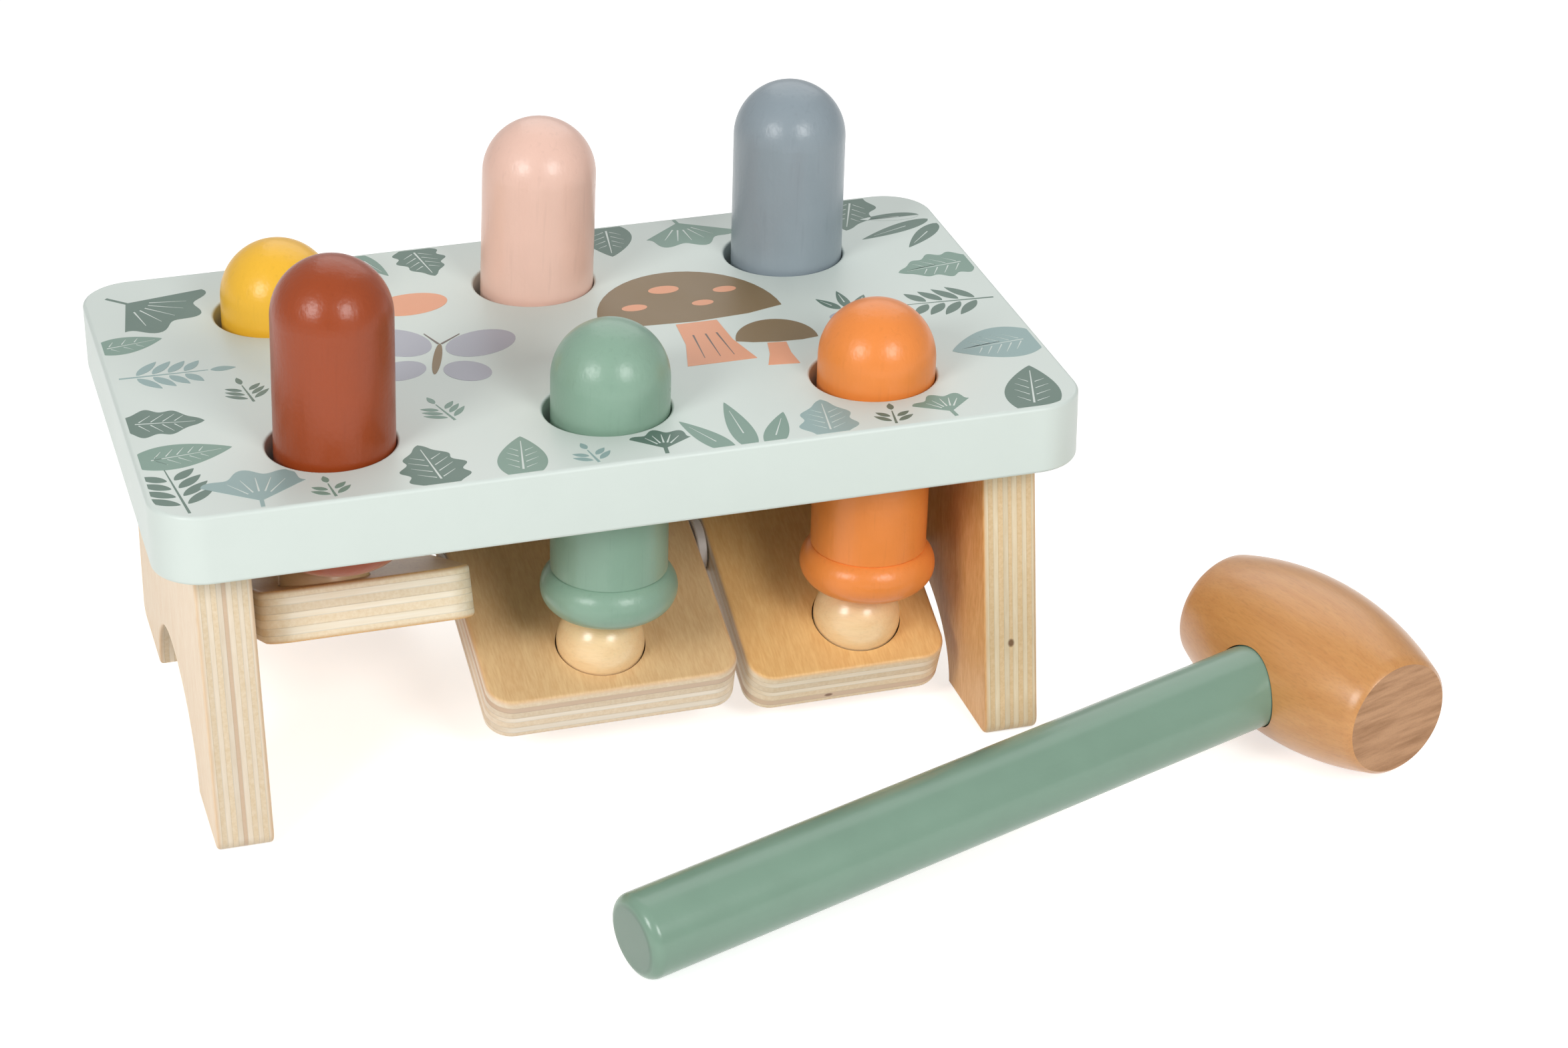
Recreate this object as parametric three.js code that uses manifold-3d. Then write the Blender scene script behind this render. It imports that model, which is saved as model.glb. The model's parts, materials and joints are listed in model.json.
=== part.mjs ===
// Wooden pounding bench: six domed pegs stand on three plywood rockers, so that a peg that is
// hammered down lifts the peg behind it. A barrel-headed hammer lies in front of the bench.
// Millimetres and degrees. X runs along the bench, the front faces -Y, Z is up.

import * as THREE from 'three';
import { mergeVertices } from 'three/addons/utils/BufferGeometryUtils.js';
import loadManifold from 'manifold-3d';

const wasm = await loadManifold();
wasm.setup();

// Bench top
const topLength = 230;
const topDepth = 140;
const topThickness = 18;
const topCornerRadius = 13;
const topEdgeRadius = 1.6;

// Pegs and the holes that guide them
const pegEndInset = 47;
const pegPitchY = 79;
const pegDiameter = 29.4;
const pegLength = 77.8;
const pegHoleClearance = 1.1;
const pegWallGap = 0.25;
const collarOverhang = 2.55;
const collarBeadRadius = 6.2;
const collarStopGap = 0.8;
const pegToBallGap = 0.95;

// Legs
const legThickness = 14;
const legOverhang = 9.5;
const legTopDepth = 112;
const legFootDepth = 130;
const legEdgeRadius = 0.8;
const legCornerChamfer = 3.5;
const footLength = 31;
const archHeight = 23.5;

// Rockers, their axle and the spacers beside them
const axleDiameter = 6;
const axleSeatWall = 4;
const middleRockerWidth = 65;
const rockerLength = 101;
const rockerThickness = 13;
const rockerCornerRadius = 7;
const rockerEdgeRadius = 0.8;
const rockerGap = 3;
const rockerLegGap = 3.5;
const rockerPlay = 1.3;
const rockerFloorGap = 5.1;
const spacerDiameter = 14;
const fullTilt = 24.5;
const middleTilt = 19;

// Balls let into the rockers
const ballDiameter = 22.4;
const ballReach = 34.2;
const ballRise = 0.8;
const ballLeftOfHole = 2;

// Dowels that hold the legs
const dowelDiameter = 8;
const dowelDepth = 13;
const dowelPitch = 60;

// Hammer
const headLength = 67.5;
const headDiameter = 43.2;
const headFaceDiameter = 31.2;
const headEdgeChamfer = 1;
const handleDiameter = 21.2;
const handleReach = 201;
const handleSeatDepth = 8;
const handleEndRadius = 3;
const hammerRightOfTop = 55;
const hammerFrontOfTop = 16;
const hammerHeading = 196.9;

// Clearances
const fitGap = 0.3;
const glueLine = 0.05;

// Facets round a full circle, and along curved edges
const pegFacets = 24;
const holeFacets = 26;
const ballFacets = 18;
const boreFacets = 16;
const dowelFacets = 12;
const headFacets = 30;
const cornerFacets = 5;
const archFacets = 18;
const pegCurveFacets = 3;
const barrelCurveFacets = 10;
const handleEndFacets = 2;

const toy = new THREE.Group();

const paint = (color) => new THREE.MeshStandardMaterial({ color, roughness: 0.45, metalness: 0 });
const mintPaint = paint(0xd6e0da);
const sagePaint = paint(0x86a892);
const plywood = new THREE.MeshStandardMaterial({ color: 0xdcb987, roughness: 0.6, metalness: 0 });
const paleWood = new THREE.MeshStandardMaterial({ color: 0xecc892, roughness: 0.4, metalness: 0 });
const honeyWood = new THREE.MeshStandardMaterial({ color: 0xc99860, roughness: 0.4, metalness: 0 });
const steel = new THREE.MeshStandardMaterial({ color: 0xb4b2b4, roughness: 0.35, metalness: 1 });
const nylon = new THREE.MeshStandardMaterial({ color: 0xb9b3b4, roughness: 0.5, metalness: 0 });

// Adds a named mesh to a group
function piece(parent, name, geometry, material) {
  const mesh = new THREE.Mesh(geometry, material);
  mesh.name = name;
  parent.add(mesh);
  return mesh;
}

// Cuts closed geometries out of a closed geometry
function cut(geometry, cutters) {
  let solid = toSolid(geometry);
  for (const cutter of cutters) solid = solid.subtract(toSolid(cutter));
  const mesh = solid.getMesh();
  const result = new THREE.BufferGeometry();
  result.setAttribute('position', new THREE.Float32BufferAttribute(mesh.vertProperties, 3));
  result.setIndex(Array.from(mesh.triVerts));
  return result;
}

function toSolid(geometry) {
  const bare = geometry.clone();
  bare.deleteAttribute('normal');
  bare.deleteAttribute('uv');
  const merged = mergeVertices(bare, 1e-4);
  const vertProperties = new Float32Array(merged.attributes.position.array);
  const triVerts = new Uint32Array(merged.index.array);
  return new wasm.Manifold(new wasm.Mesh({ numProp: 3, vertProperties, triVerts }));
}

// A plate of the given outline, from z = 0 up to its thickness, with rounded edges
function plate(outline, thickness, edgeRadius, edgeFacets, curveFacets) {
  const geometry = new THREE.ExtrudeGeometry(outline, {
    depth: thickness - 2 * edgeRadius,
    bevelThickness: edgeRadius,
    bevelSize: edgeRadius,
    bevelOffset: -edgeRadius,
    bevelSegments: edgeFacets,
    curveSegments: curveFacets / 2,
  });
  return geometry.translate(0, 0, edgeRadius);
}

function roundedRectangle(width, depth, radius) {
  const points = [];
  for (const [corner, [u, v]] of [[1, 1], [-1, 1], [-1, -1], [1, -1]].entries()) {
    for (let step = 0; step <= cornerFacets; step += 1) {
      const angle = (corner + step / cornerFacets) * Math.PI / 2;
      const x = u * (width / 2 - radius) + radius * Math.cos(angle);
      const y = v * (depth / 2 - radius) + radius * Math.sin(angle);
      points.push(new THREE.Vector2(x, y));
    }
  }
  return new THREE.Shape(points);
}

// Revolves a path of (radius, height) points about Z
function turned(profile, facets, curveDivisions) {
  return new THREE.LatheGeometry(profile.getPoints(curveDivisions), facets).rotateX(Math.PI / 2);
}

// A cylinder along X from one end to the other
function roundBarX(diameter, from, to, facets) {
  const bar = new THREE.CylinderGeometry(diameter / 2, diameter / 2, to - from, facets);
  return bar.rotateZ(Math.PI / 2).translate((from + to) / 2, 0, 0);
}

// A cylinder along Z from one height to another
function roundBarZ(diameter, from, to, facets) {
  const bar = new THREE.CylinderGeometry(diameter / 2, diameter / 2, to - from, facets);
  return bar.rotateX(Math.PI / 2).translate(0, 0, (from + to) / 2);
}

// Heights stack up from the floor: the rocker at full tilt, the ball, and the peg under the top
const steepest = THREE.MathUtils.degToRad(fullTilt);
const rockerDrop = rockerLength / 2 * Math.sin(steepest) + rockerThickness / 2 * Math.cos(steepest);
const axleHeight = rockerFloorGap + rockerDrop;
const ballCentreRise = rockerThickness / 2 + ballRise;
const beadEndAngle = Math.acos(1 - collarOverhang / collarBeadRadius);
const collarHeight = collarBeadRadius * (1 + Math.sin(beadEndAngle));
const highestFoot = footHeight(steepest);
const topUnderside = highestFoot + collarHeight + collarStopGap;

// Height of a peg's foot over a ball that a tilted rocker lifts
function footHeight(lift) {
  const ballCentre = axleHeight + ballReach * Math.sin(lift) + ballCentreRise * Math.cos(lift);
  return ballCentre + ballDiameter / 2 + pegToBallGap;
}

// Places that several pieces share
const legOuterX = topLength / 2 - legOverhang;
const legInnerX = legOuterX - legThickness;
const legMiddleX = legOuterX - legThickness / 2;
const pegPitchX = topLength / 2 - pegEndInset;
const pegHoleDiameter = pegDiameter + 2 * pegHoleClearance;
const axleBoreDiameter = axleDiameter + 2 * fitGap;
const dowelBoreDiameter = dowelDiameter + 2 * fitGap;
const dowelSpots = [-dowelPitch / 2, dowelPitch / 2];
const sides = [['left', -1], ['right', 1]];

// Bench top: a thick board with six holes, and blind holes for the leg dowels underneath
function makeTop() {
  const outline = roundedRectangle(topLength, topDepth, topCornerRadius);
  for (const column of [-1, 0, 1]) {
    for (const row of [-1, 1]) {
      const hole = new THREE.Path();
      hole.absarc(column * pegPitchX, row * pegPitchY / 2, pegHoleDiameter / 2, 0, 2 * Math.PI, true);
      outline.holes.push(hole);
    }
  }
  const board = plate(outline, topThickness, topEdgeRadius, 2, holeFacets);
  const dowelHoles = [];
  for (const [, side] of sides) {
    for (const y of dowelSpots) {
      const hole = roundBarZ(dowelBoreDiameter, -fitGap, dowelDepth + fitGap, boreFacets);
      dowelHoles.push(hole.translate(side * legMiddleX, y, 0));
    }
  }
  const top = piece(toy, 'top_board', cut(board, dowelHoles), mintPaint);
  top.position.z = topUnderside;
}

// Leg outline in the plane of the plywood: u runs to the back, v runs up
function legOutline(height) {
  const foot = legFootDepth / 2;
  const crown = legTopDepth / 2;
  const archHalf = foot - footLength;
  const slope = (foot - crown) / height;
  const tuck = legCornerChamfer;
  const outline = new THREE.Shape();
  outline.moveTo(-crown, height);
  outline.lineTo(-foot + slope * tuck, tuck);
  outline.lineTo(-foot + tuck, 0);
  outline.lineTo(-archHalf, 0);
  outline.absellipse(0, 0, archHalf, archHeight, Math.PI, 0, true);
  outline.lineTo(foot - tuck, 0);
  outline.lineTo(foot - slope * tuck, tuck);
  outline.lineTo(crown, height);
  outline.closePath();
  return outline;
}

// Legs: tapered plywood, arched between the feet, bored for the axle and the dowels
function makeLegs() {
  const height = topUnderside - glueLine;
  for (const [name, side] of sides) {
    const upright = plate(legOutline(height), legThickness, legEdgeRadius, 1, archFacets);
    upright.rotateX(Math.PI / 2).rotateZ(Math.PI / 2);
    upright.translate(side * legMiddleX - legThickness / 2, 0, 0);
    const innerX = side * legInnerX;
    const seatEnds = [innerX - side * fitGap, side * (legOuterX - axleSeatWall + fitGap)];
    const axleSeat = roundBarX(axleBoreDiameter, Math.min(...seatEnds), Math.max(...seatEnds), boreFacets);
    const cutters = [axleSeat.translate(0, 0, axleHeight)];
    for (const y of dowelSpots) {
      const hole = roundBarZ(dowelBoreDiameter, height - dowelDepth - fitGap, height + fitGap, boreFacets);
      cutters.push(hole.translate(side * legMiddleX, y, 0));
    }
    piece(toy, `${name}_leg`, cut(upright, cutters), plywood);
    dowelSpots.forEach((y, index) => {
      const ends = [topUnderside - dowelDepth, topUnderside + dowelDepth];
      const dowel = roundBarZ(dowelDiameter, ...ends, dowelFacets);
      const place = index === 0 ? 'front' : 'back';
      piece(toy, `${name}_${place}_dowel`, dowel, paleWood).position.set(side * legMiddleX, y, 0);
    });
  }
}

// The axle lies in the blind holes of both legs
function makeAxle() {
  const reach = legOuterX - axleSeatWall;
  const rod = roundBarX(axleDiameter, -reach, reach, boreFacets);
  piece(toy, 'axle', rod, steel).position.z = axleHeight;
}

// Rockers, from left to right, with the tilt that each rests at (front down is positive). They have
// some play along the axle, and the middle and right ones rest to the left of it
const sideRockerInnerX = middleRockerWidth / 2 + rockerGap;
const sideRockerOuterX = legInnerX - rockerLegGap;
const sideRockerWidth = sideRockerOuterX - sideRockerInnerX;
const sideRockerX = (sideRockerOuterX + sideRockerInnerX) / 2;
const rockers = [
  { name: 'left', x: -sideRockerX, width: sideRockerWidth, tilt: -fullTilt },
  { name: 'middle', x: -rockerPlay, width: middleRockerWidth, tilt: middleTilt },
  { name: 'right', x: sideRockerX - rockerPlay, width: sideRockerWidth, tilt: fullTilt },
];
const ballBoreDiameter = ballDiameter + 2 * fitGap;
const ballBoreFloor = ballCentreRise - ballDiameter / 2 - fitGap;

function makeRocker({ name, x, width, tilt }, column) {
  const group = new THREE.Group();
  group.position.set(x, 0, axleHeight);
  group.rotation.x = THREE.MathUtils.degToRad(tilt);
  toy.add(group);
  const ballX = column * pegPitchX - ballLeftOfHole - x;
  const outline = roundedRectangle(width, rockerLength, rockerCornerRadius);
  const board = plate(outline, rockerThickness, rockerEdgeRadius, 1, holeFacets);
  board.translate(0, 0, -rockerThickness / 2);
  const cutters = [roundBarX(axleBoreDiameter, -width, width, boreFacets)];
  for (const y of [-ballReach, ballReach]) {
    const bore = roundBarZ(ballBoreDiameter, ballBoreFloor, rockerThickness, holeFacets);
    cutters.push(bore.translate(ballX, y, 0));
  }
  piece(group, `${name}_rocker`, cut(board, cutters), plywood);
  for (const [place, row] of [['front', -1], ['back', 1]]) {
    const sphere = new THREE.SphereGeometry(ballDiameter / 2, ballFacets, ballFacets / 2);
    const ball = piece(group, `${name}_${place}_ball`, sphere.rotateX(Math.PI / 2), paleWood);
    ball.position.set(ballX, row * ballReach, ballCentreRise);
  }
}

// Spacer rings fill the gaps between the legs and the rockers on the axle
function makeSpacers() {
  const names = ['left_outer', 'left_inner', 'right_inner', 'right_outer'];
  const starts = [-legInnerX, ...rockers.map(({ x, width }) => x + width / 2)];
  const stops = [...rockers.map(({ x, width }) => x - width / 2), legInnerX];
  names.forEach((name, index) => {
    const length = stops[index] - starts[index] - 2 * fitGap;
    const section = new THREE.Shape().absarc(0, 0, spacerDiameter / 2, 0, 2 * Math.PI);
    section.holes.push(new THREE.Path().absarc(0, 0, axleBoreDiameter / 2, 0, 2 * Math.PI, true));
    const options = { depth: length, bevelEnabled: false, curveSegments: boreFacets / 2 };
    const ring = new THREE.ExtrudeGeometry(section, options).translate(0, 0, -length / 2);
    const spacer = piece(toy, `${name}_spacer`, ring.rotateY(Math.PI / 2), nylon);
    spacer.position.set((starts[index] + stops[index]) / 2, 0, axleHeight);
  });
}

// Pegs: column and row of the hole, paint, and how far each leans to the right in its loose hole
const pegs = [
  { name: 'rust_peg', column: -1, row: -1, color: 0x9a4a2b, lean: 2 },
  { name: 'yellow_peg', column: -1, row: 1, color: 0xf2bd36, lean: 1 },
  { name: 'green_peg', column: 0, row: -1, color: 0x86a892, lean: 1.7 },
  { name: 'pink_peg', column: 0, row: 1, color: 0xe8bfb0, lean: 3 },
  { name: 'orange_peg', column: 1, row: -1, color: 0xe98b45, lean: 2 },
  { name: 'grey_peg', column: 1, row: 1, color: 0x8a939e, lean: 1.7 },
];

// A straight shank with a domed top, and a round bead at the foot that can't pass the hole
function pegProfile() {
  const radius = pegDiameter / 2;
  const beadCentre = radius + collarOverhang - collarBeadRadius;
  const profile = new THREE.Path();
  profile.moveTo(0, 0);
  profile.lineTo(beadCentre, 0);
  profile.absarc(beadCentre, collarBeadRadius, collarBeadRadius, -Math.PI / 2, beadEndAngle);
  profile.lineTo(radius, pegLength - radius);
  profile.absarc(0, pegLength - radius, radius, 0, Math.PI / 2);
  return profile;
}

// Each peg stands on the ball below it and leans against the right wall of its hole
function makePeg({ name, column, row, color, lean }) {
  const lift = row * THREE.MathUtils.degToRad(rockers[column + 1].tilt);
  const holeMiddle = topUnderside + topThickness / 2;
  const slant = THREE.MathUtils.degToRad(lean);
  const drift = pegHoleClearance - pegWallGap - topThickness / 2 * Math.tan(slant);
  const group = new THREE.Group();
  group.position.set(column * pegPitchX + drift, row * pegPitchY / 2, holeMiddle);
  group.rotation.y = slant;
  toy.add(group);
  const peg = piece(group, name, turned(pegProfile(), pegFacets, pegCurveFacets), paint(color));
  peg.position.z = footHeight(lift) - holeMiddle;
}

// Hammer head: a barrel along Y with flat ends and a blind hole for the handle
function hammerHead() {
  const half = headLength / 2;
  const faceRadius = headFaceDiameter / 2;
  const bellyRadius = headDiameter / 2;
  const bulgeControl = 2 * bellyRadius - faceRadius;
  const profile = new THREE.Path();
  profile.moveTo(0, -half);
  profile.lineTo(faceRadius - headEdgeChamfer, -half);
  profile.lineTo(faceRadius, -half + headEdgeChamfer);
  profile.quadraticCurveTo(bulgeControl, 0, faceRadius, half - headEdgeChamfer);
  profile.lineTo(faceRadius - headEdgeChamfer, half);
  profile.lineTo(0, half);
  const barrel = turned(profile, headFacets, barrelCurveFacets).rotateX(Math.PI / 2);
  const bore = roundBarX(handleDiameter + 2 * fitGap, -handleSeatDepth - fitGap, headDiameter, holeFacets);
  return cut(barrel, [bore]);
}

// Hammer handle: a dowel along X with a rounded outer end
function hammerHandle() {
  const radius = handleDiameter / 2;
  const profile = new THREE.Path();
  profile.moveTo(0, -handleSeatDepth);
  profile.lineTo(radius, -handleSeatDepth);
  profile.lineTo(radius, handleReach - handleEndRadius);
  profile.absarc(radius - handleEndRadius, handleReach - handleEndRadius, handleEndRadius, 0, Math.PI / 2);
  profile.lineTo(0, handleReach);
  return turned(profile, holeFacets, handleEndFacets).rotateY(Math.PI / 2);
}

// The hammer lies on the belly of its head and on the lower edge of its handle's end
function makeHammer() {
  const bellyRadius = headDiameter / 2;
  const handleRadius = handleDiameter / 2;
  const span = Math.hypot(handleReach, handleRadius);
  const dip = Math.asin(bellyRadius / span) - Math.atan2(handleRadius, handleReach);
  const group = new THREE.Group();
  const hammerX = topLength / 2 + hammerRightOfTop;
  const hammerY = -topDepth / 2 - hammerFrontOfTop;
  group.position.set(hammerX, hammerY, bellyRadius + glueLine);
  group.rotation.set(0, dip, THREE.MathUtils.degToRad(hammerHeading), 'ZYX');
  toy.add(group);
  piece(group, 'hammer_head', hammerHead(), honeyWood);
  piece(group, 'hammer_handle', hammerHandle(), sagePaint);
}

makeTop();
makeLegs();
makeAxle();
rockers.forEach((rocker, index) => makeRocker(rocker, index - 1));
makeSpacers();
pegs.forEach(makePeg);
makeHammer();

// The origin is under the middle of the whole set, on the surface that it stands on
const box = new THREE.Box3().setFromObject(toy, true);
const centre = box.getCenter(new THREE.Vector3());
toy.position.set(-centre.x, -centre.y, -box.min.z);
toy.updateMatrixWorld(true);

export default toy;
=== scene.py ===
import json
import math

import bmesh
import bpy
from mathutils import Matrix, Vector


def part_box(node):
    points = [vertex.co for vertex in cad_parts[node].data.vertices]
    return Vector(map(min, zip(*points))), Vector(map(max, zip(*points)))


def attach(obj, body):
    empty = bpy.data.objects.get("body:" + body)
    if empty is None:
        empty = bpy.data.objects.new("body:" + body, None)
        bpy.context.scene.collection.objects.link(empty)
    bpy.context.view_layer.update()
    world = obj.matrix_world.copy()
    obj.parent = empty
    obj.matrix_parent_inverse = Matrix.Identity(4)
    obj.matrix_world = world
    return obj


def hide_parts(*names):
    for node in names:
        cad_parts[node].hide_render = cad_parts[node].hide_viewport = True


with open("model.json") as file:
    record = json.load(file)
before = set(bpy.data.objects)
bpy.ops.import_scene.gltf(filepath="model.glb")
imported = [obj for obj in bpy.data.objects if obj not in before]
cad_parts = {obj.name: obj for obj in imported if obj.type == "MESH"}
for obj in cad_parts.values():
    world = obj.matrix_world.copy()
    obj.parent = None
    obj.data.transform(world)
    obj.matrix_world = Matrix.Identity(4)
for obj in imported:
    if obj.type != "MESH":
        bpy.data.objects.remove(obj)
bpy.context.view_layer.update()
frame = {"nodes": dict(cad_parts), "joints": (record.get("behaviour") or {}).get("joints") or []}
mm = 0.001  # sizes in the dictionaries are millimetres
smoothAngle = 38  # degrees; edges that turn further stay crisp
print("frame loaded:", len(frame["nodes"]), "nodes")


# Reading places from the frame

def boxCentre(node):
    low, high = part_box(node)
    return (low + high) / 2


def boxSize(node):
    low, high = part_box(node)
    return high - low


def middleAlong(node, direction):
    reach = [vertex.co.dot(direction) for vertex in frame["nodes"][node].data.vertices]
    return (min(reach) + max(reach)) / 2


def startAlong(node, direction):
    return min(vertex.co.dot(direction) for vertex in frame["nodes"][node].data.vertices)


# Modelling steps that several pieces share

def pickOnly(piece):
    bpy.ops.object.select_all(action='DESELECT')
    piece.select_set(True)
    bpy.context.view_layer.objects.active = piece


def applyModifiers(piece):
    pickOnly(piece)
    for modifier in list(piece.modifiers):
        bpy.ops.object.modifier_apply(modifier=modifier.name)


def bevelEdges(piece, chosen, radius, steps):
    # rounds the edges whose two ends pass the test
    pickOnly(piece)
    bpy.ops.object.mode_set(mode='EDIT')
    bpy.ops.mesh.select_mode(type='EDGE')
    bpy.ops.mesh.select_all(action='DESELECT')
    mesh = bmesh.from_edit_mesh(piece.data)
    for edge in mesh.edges:
        if chosen(edge.verts[0].co, edge.verts[1].co):
            edge.select_set(True)
    bmesh.update_edit_mesh(piece.data)
    bpy.ops.mesh.bevel(offset=radius, segments=steps, affect='EDGES')
    bpy.ops.object.mode_set(mode='OBJECT')


def startBlock(name, size):
    bpy.ops.object.select_all(action='DESELECT')
    bpy.ops.mesh.primitive_cube_add(size=1)
    block = bpy.context.object
    block.name = name
    bpy.ops.object.mode_set(mode='EDIT')
    bpy.ops.mesh.select_all(action='SELECT')
    bpy.ops.transform.resize(value=size)
    bpy.ops.object.mode_set(mode='OBJECT')
    return block


def roundBoard(name, size, cornerRadius, rimRadius):
    # a board lying flat, with round corners and eased rims
    board = startBlock(name, size)
    bevelEdges(board, lambda a, b: abs(a.z - b.z) > size[2] / 2, cornerRadius, steps=12)
    bevelEdges(board, lambda a, b: abs(a.z - b.z) < size[2] / 100, rimRadius, steps=4)
    return board


def cutOut(piece, drill, place):
    # takes the drill's shape, set at the given place, out of the piece
    drill.matrix_world = place
    bpy.context.view_layer.update()
    carve = piece.modifiers.new('cutOut', 'BOOLEAN')
    carve.object = drill
    applyModifiers(piece)
    bpy.data.objects.remove(drill)


def bore(piece, radius, length, place, sides):
    # takes out a round bar that lies along its own Z
    bpy.ops.object.select_all(action='DESELECT')
    bpy.ops.mesh.primitive_cylinder_add(radius=radius, depth=length, vertices=sides)
    cutOut(piece, bpy.context.object, place)


def turnOnLathe(name, profile, steps=96):
    # draws the half section point by point, then spins it about Z
    bpy.ops.object.select_all(action='DESELECT')
    bpy.ops.mesh.primitive_plane_add(size=mm)
    turned = bpy.context.object
    turned.name = name
    bpy.ops.object.mode_set(mode='EDIT')
    bpy.ops.mesh.select_mode(type='VERT')
    bpy.ops.mesh.select_all(action='SELECT')
    bpy.ops.mesh.merge(type='CENTER')
    bpy.ops.transform.translate(value=(profile[0][0], 0, profile[0][1]))
    for (r0, z0), (r1, z1) in zip(profile, profile[1:]):
        bpy.ops.mesh.extrude_vertices_move(TRANSFORM_OT_translate={"value": (r1 - r0, 0, z1 - z0)})
    bpy.ops.mesh.select_all(action='SELECT')
    bpy.ops.mesh.spin(steps=steps, angle=2 * math.pi, center=(0, 0, 0), axis=(0, 0, 1))
    bpy.ops.mesh.select_all(action='SELECT')
    bpy.ops.mesh.remove_doubles(threshold=mm / 1000)
    bpy.ops.mesh.normals_make_consistent(inside=False)
    bpy.ops.object.mode_set(mode='OBJECT')
    return turned


def arcPoints(centre, radius, fromDegrees, toDegrees, steps):
    points = []
    for step in range(steps + 1):
        angle = math.radians(fromDegrees + (toDegrees - fromDegrees) * step / steps)
        points.append((centre[0] + radius * math.cos(angle), centre[1] + radius * math.sin(angle)))
    return points


def rimDrill(radius, low, high, rim, steps=4):
    # a drill for a hole through a sheet that also rounds the hole's two rims
    flare = radius + rim
    lower = arcPoints((flare, low + rim), rim, 270, 180, steps)
    upper = arcPoints((flare, high - rim), rim, 180, 90, steps)
    below, above = low - 2 * rim, high + 2 * rim
    return turnOnLathe("drill", [(0, below), (flare, below)] + lower + upper + [(flare, above), (0, above)])


def copyPiece(piece, name):
    twin = piece.copy()
    twin.data = piece.data.copy()
    twin.name = name
    bpy.context.scene.collection.objects.link(twin)
    return twin


def settle(piece, place, body, nodes, material):
    # puts a finished mesh where its CAD node is and ties it to that body
    piece.matrix_world = place
    pickOnly(piece)
    bpy.ops.object.transform_apply(location=True, rotation=True, scale=True)
    bpy.ops.object.shade_smooth_by_angle(angle=math.radians(smoothAngle))
    flats = piece.modifiers.new('flats', 'WEIGHTED_NORMAL')
    flats.keep_sharp = True
    applyModifiers(piece)
    piece.data.materials.clear()
    piece.data.materials.append(material)
    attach(piece, body)
    if nodes:
        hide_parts(*nodes)
    return piece


# Materials

def hexColor(code):
    # sRGB hex to the linear colour that the sockets take
    channels = [int(code[start:start + 2], 16) / 255 for start in (1, 3, 5)]
    linear = [c / 12.92 if c <= 0.04045 else ((c + 0.055) / 1.055) ** 2.4 for c in channels]
    return (*linear, 1.0)


def addNode(tree, kind, links=None, inputs=None, **settings):
    # one shader node with its settings, its values and what feeds it
    node = tree.nodes.new('ShaderNode' + kind)
    for name, value in settings.items():
        setattr(node, name, value)
    for socket, value in (inputs or {}).items():
        node.inputs[socket].default_value = value
    for socket, source in (links or {}).items():
        tree.links.new(source, node.inputs[socket])
    return node


def startMaterial(name, **finish):
    material = bpy.data.materials.new(name)
    material.use_nodes = True
    tree = material.node_tree
    tree.nodes.clear()
    sockets = {socket.replace('_', ' '): value for socket, value in finish.items()}
    shader = addNode(tree, 'BsdfPrincipled', inputs=sockets)
    addNode(tree, 'OutputMaterial', links={'Surface': shader.outputs['BSDF']})
    return material, tree, shader


def pieceCoordinates(tree, place):
    # Object coordinates turned back to the upright piece, and its surface normal
    source = addNode(tree, 'TexCoord')
    upright = addNode(tree, 'Mapping', {'Vector': source.outputs['Object']},
                      {'Location': place.to_translation(), 'Rotation': place.to_euler()},
                      vector_type='TEXTURE')
    return upright.outputs['Vector'], source.outputs['Normal']


noiseRange = {'From Min': 0.3, 'From Max': 0.7}  # where most of a noise's values lie

# sizes of the paint's patterns; real beech pores are too fine to show, so these are coarser
paintPattern = {'pore': 1.2, 'poreStretch': 0.07, 'spray': 1.4, 'coat': 14}
turnedPaint = {'blotch': 0.03, 'pore': 0.05, 'grain': 0.05, 'peel': 0.065, 'smooth': 0.27, 'rough': 0.34,
               'paintedEndShade': 1.0}
# the handle is smoother and shinier, and its sawn end is painted darker: painted shade where the left lamp
# falls full on it, and end grain that drinks the paint
handlePaint = {**turnedPaint, 'pore': 0.01, 'grain': 0.0, 'peel': 0.02, 'smooth': 0.2, 'rough': 0.26,
               'paintedEndShade': 0.74}
boardLacquer = {'blotch': 0.008, 'pore': 0.0, 'grain': 0.0, 'peel': 0.012, 'smooth': 0.36, 'rough': 0.42,
                'paintedEndShade': 1.0}


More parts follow.
